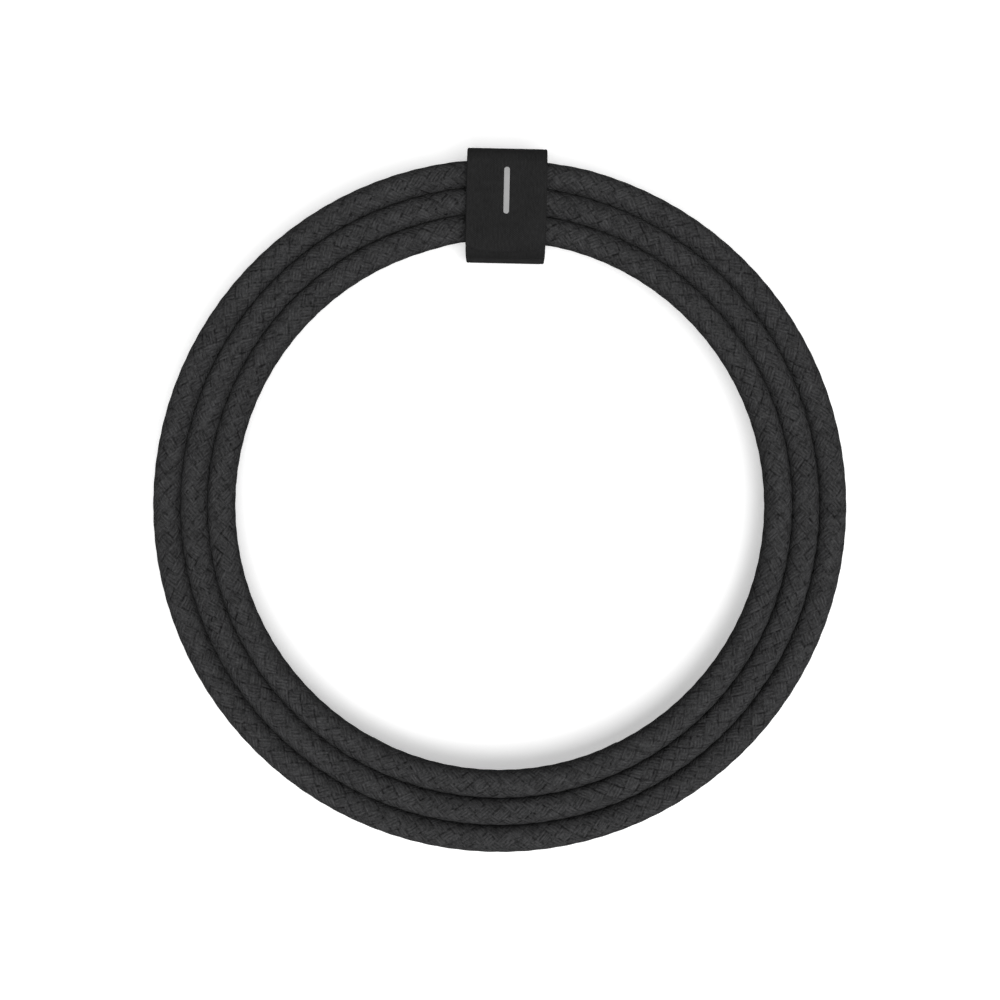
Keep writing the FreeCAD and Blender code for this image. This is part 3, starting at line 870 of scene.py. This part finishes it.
def patch(name, span, base, shape, radius, slot, body, node):
    """A patch on the strap: a thin sheet with a small tube, made by shape, on every place of a grid."""
    draw = random.Random(PATCH_SEED)
    vertices = []
    faces = []
    half = PATCH_WIDTH / 2
    for height in sorted(base):
        vertices += [on_strap(x * MM, v * MM, height * MM)
                     for x, v in ((-half, span[0]), (half, span[0]), (half, span[1]), (-half, span[1]))]
    faces += [(3, 2, 1, 0), (4, 5, 6, 7)] + ring_faces(2, 4)
    columns = int(PATCH_WIDTH / PATCH_PITCH) - 1
    rows = int((span[1] - span[0]) / PATCH_PITCH) - 1
    for row in range(rows):
        for column in range(columns):
            jitter = draw.uniform(-PATCH_JITTER, PATCH_JITTER)
            x = (column - (columns - 1) / 2 + (row % 2) / 4 + jitter) * PATCH_PITCH
            jitter = draw.uniform(-PATCH_JITTER, PATCH_JITTER)
            v = (span[0] + span[1]) / 2 + (row - (rows - 1) / 2 + jitter) * PATCH_PITCH
            turn = draw.uniform(-PATCH_TURN, PATCH_TURN)
            points = [on_strap((x + along * math.cos(turn)) * MM, (v + along * math.sin(turn)) * MM, z * MM)
                      for along, z in shape]
            thin_tube(points, radius, vertices, faces)
    piece = new_piece(name, vertices, faces, materials[slot], body)
    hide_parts(node)
    return piece


def loop_pile():
    """Soft loops on the underlay, each a small arch."""
    half_width, blunt = LOOP_ARCH
    base = PILE_BASE[0]
    rise = PILE_TOP - base - LOOP_GAP
    steps = 6
    arch = [(half_width * math.cos(math.pi * (1 - step / steps)),
             base + rise * math.sin(math.pi * step / steps) ** blunt) for step in range(steps + 1)]
    patch("strap_loops", PILE_SPAN, PILE_BASE, arch, LOOP_YARN_R, "strap_pile", "strap", "strap_loop_pile")


def hook_patch():
    """Stiff hooks under the flap, each a stem with a bent tip."""
    base = HOOK_BASE[0]
    low = HOOK_TOP + HOOK_GAP
    hook = [(-0.06, base), (-0.06, low + 0.08), (0.0, low), (0.1, low), (0.15, low + 0.07)]
    patch("strap_hooks", HOOK_SPAN, HOOK_BASE, hook, HOOK_WIRE_R, "strap_hooks", "strap_closure",
          "strap_hook_patch")


def plain_mark():
    """A plain raised bar with round ends, printed down the middle of the flap."""
    v_from, v_to, width = MARK
    rings = []
    half_around = 12
    for inset, height in MARK_PROFILE:
        radius = width / 2 - inset * MM
        for end, centre in ((-1, v_from + width / 2), (1, v_to - width / 2)):
            for step in range(half_around + 1):
                angle = math.pi * (step / half_around - 0.5)
                across = -end * radius * math.sin(angle)
                rings.append(on_strap(across, centre + end * radius * math.cos(angle), height * MM))
    around = 2 * (half_around + 1)
    faces = ring_faces(len(MARK_PROFILE), around)
    top = len(MARK_PROFILE) - 1
    faces += [tuple(top * around + place for place in range(around)), tuple(range(around))[::-1]]
    mark = new_piece("strap_plain_mark", rings, faces, materials["strap_print"],
                     "strap_closure")
    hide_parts("strap_mark")


# ---- the stage ----

def floor_material():
    nodes = Nodes("floor")
    speckle = nodes.noise(nodes.object_place(), 900.0)
    return nodes.surface(Base_Color=nodes.colour(speckle, grey(0.79), grey(0.81)), Roughness=0.9,
                         Specular_IOR_Level=0.1, Emission_Color=grey(1.0), Emission_Strength=FLOOR_GLOW)


def floor():
    """A white floor that curves up into a wall all round."""
    curve = [(step + 1) / WALL_CURVE_STEPS * math.pi / 2 for step in range(WALL_CURVE_STEPS)]
    profile = [(FLOOR_R - WALL_CURVE_R, 0.0), (FLOOR_R, 0.0)]
    profile += [(FLOOR_R + WALL_CURVE_R * math.sin(turn), WALL_CURVE_R * (1 - math.cos(turn)))
                for turn in curve]
    profile.append((FLOOR_R + WALL_CURVE_R, WALL_TOP))
    turns = [2 * math.pi * step / FLOOR_AROUND for step in range(FLOOR_AROUND)]
    vertices = [(radius * math.cos(turn), radius * math.sin(turn), height)
                for radius, height in profile for turn in turns]
    mesh = bpy.data.meshes.new("floor")
    faces = [face[::-1] for face in ring_faces(len(profile), FLOOR_AROUND)]
    faces.append(tuple(range(FLOOR_AROUND)))
    mesh.from_pydata(vertices, [], faces)
    mesh.shade_smooth()
    mesh.materials.append(floor_material())
    ground = bpy.data.objects.new("floor", mesh)
    bpy.context.collection.objects.link(ground)
    ground.visible_diffuse = False
    ground.visible_shadow = False


def area_light(name, place, size, power):
    """A square light that points at the middle of the floor."""
    data = bpy.data.lights.new(name, "AREA")
    data.size = size
    data.energy = power
    light = bpy.data.objects.new(name, data)
    light.location = place
    light.rotation_euler = (-Vector(place)).to_track_quat("-Z", "Y").to_euler()
    bpy.context.collection.objects.link(light)


def lights():
    area_light("key", KEY_PLACE, KEY_SIZE, KEY_POWER)
    distance, height = FILL_PLACE
    for quarter in range(4):
        turn = (quarter + 0.5) * math.pi / 2
        place = (distance * math.cos(turn), distance * math.sin(turn), height)
        area_light(f"fill_{quarter}", place, FILL_SIZE, FILL_POWER)


def sky():
    """Dim light from all round above the floor, and almost none from below it."""
    world = bpy.data.worlds.new("world")
    bpy.context.scene.world = world
    world.use_nodes = True
    tree = world.node_tree
    direction = tree.nodes.new("ShaderNodeTexCoord").outputs["Generated"]
    parts = tree.nodes.new("ShaderNodeSeparateXYZ")
    tree.links.new(direction, parts.inputs[0])
    level = tree.nodes.new("ShaderNodeMapRange")
    tree.links.new(parts.outputs[2], level.inputs[0])
    for index, value in enumerate((-0.1, 0.1, *SKY), 1):
        level.inputs[index].default_value = value
    tree.links.new(level.outputs[0], tree.nodes["Background"].inputs["Strength"])


make_camera()
materials = make_materials()
dress_nodes()
cord, cord_line = braided_cord()
for plug_side, plug_letter in ((-1, "a"), (1, "b")):
    [make(plug_side, plug_letter) for make in (housing, boot, shell)]
strap_tapes()
loop_pile()
hook_patch()
plain_mark()
floor()
lights()
sky()
bpy.context.scene.view_settings.view_transform = "Standard"
